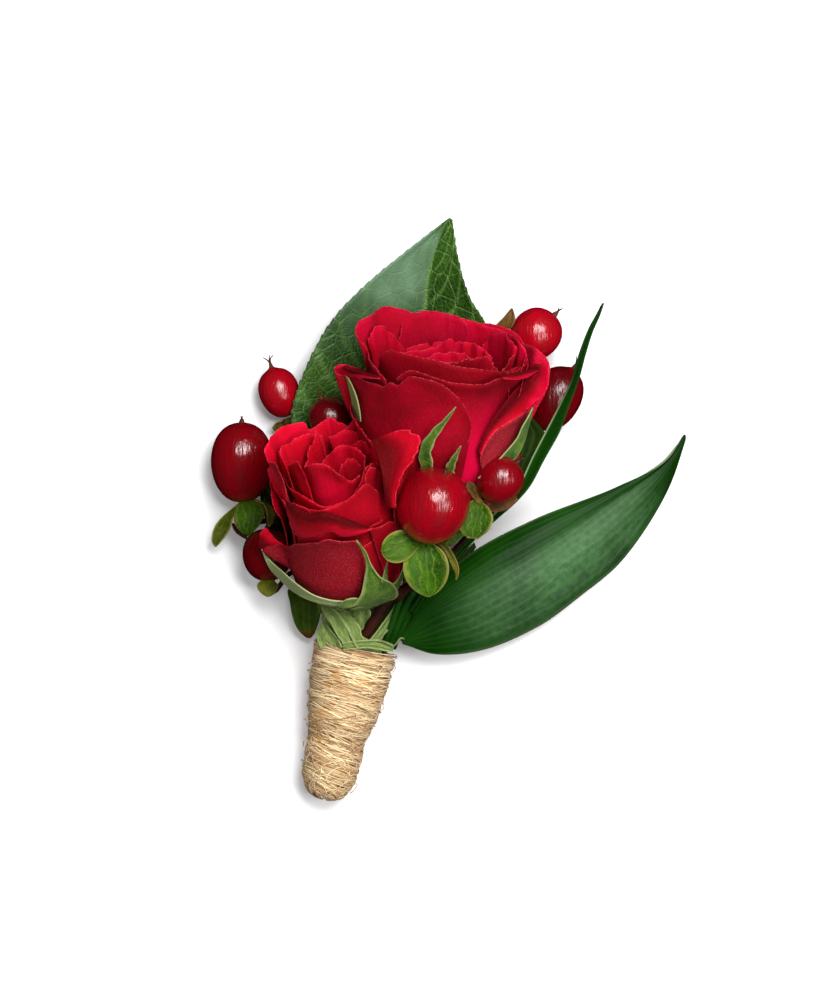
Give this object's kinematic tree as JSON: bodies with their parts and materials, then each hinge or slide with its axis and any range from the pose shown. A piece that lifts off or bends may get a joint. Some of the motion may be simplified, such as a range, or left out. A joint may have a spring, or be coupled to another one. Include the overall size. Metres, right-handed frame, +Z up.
{
  "type": "boutonniere",
  "caption": "Boutonniere of red roses, hypericum berries and mixed green leaves, with floral tape and a twine-wrapped handle, lying on its back.",
  "frame": {"origin": "on the flat underside of the twine wrap, where it lies against a lapel or a table", "axes": "+X to the right as seen from above with the handle nearest, +Y from the handle to the flowers, both in the table's plane; +Z up out of the table"},
  "size_m": [0.0861, 0.1045, 0.0387],
  "materials": {
    "petals": "soft velvet",
    "calyx": "waxy plant surface",
    "berry": "glossy fruit skin",
    "sepals": "waxy plant surface",
    "twig": "thin woody stem",
    "leaf": "leathery leaf with a soft sheen",
    "tape": "waxed crepe paper",
    "twine": "natural plant fibre"
  },
  "bodies": {
    "root": {"rose_upper_petals": "petals", "rose_lower_petals": "petals", "rose_upper_calyx": "calyx", "rose_lower_calyx": "calyx", "hypericum_twig_left": "twig", "hypericum_twig_front": "twig", "hypericum_twig_right": "twig", "salal_leaf": "leaf", "ruscus_leaf": "leaf", "ruscus_blade": "leaf", "dark_leaf": "leaf", "twine_wrap": "twine", "floral_tape": "tape", "berry_1": "berry", "berry_1_sepals": "sepals", "berry_2": "berry", "berry_2_sepals": "sepals", "berry_3": "berry", "berry_3_sepals": "sepals", "berry_4": "berry", "berry_4_sepals": "sepals", "berry_5": "berry", "berry_5_sepals": "sepals", "berry_6": "berry", "berry_6_sepals": "sepals", "berry_7": "berry", "berry_7_sepals": "sepals", "berry_8": "berry", "berry_8_sepals": "sepals"}
  },
  "joints": []
}
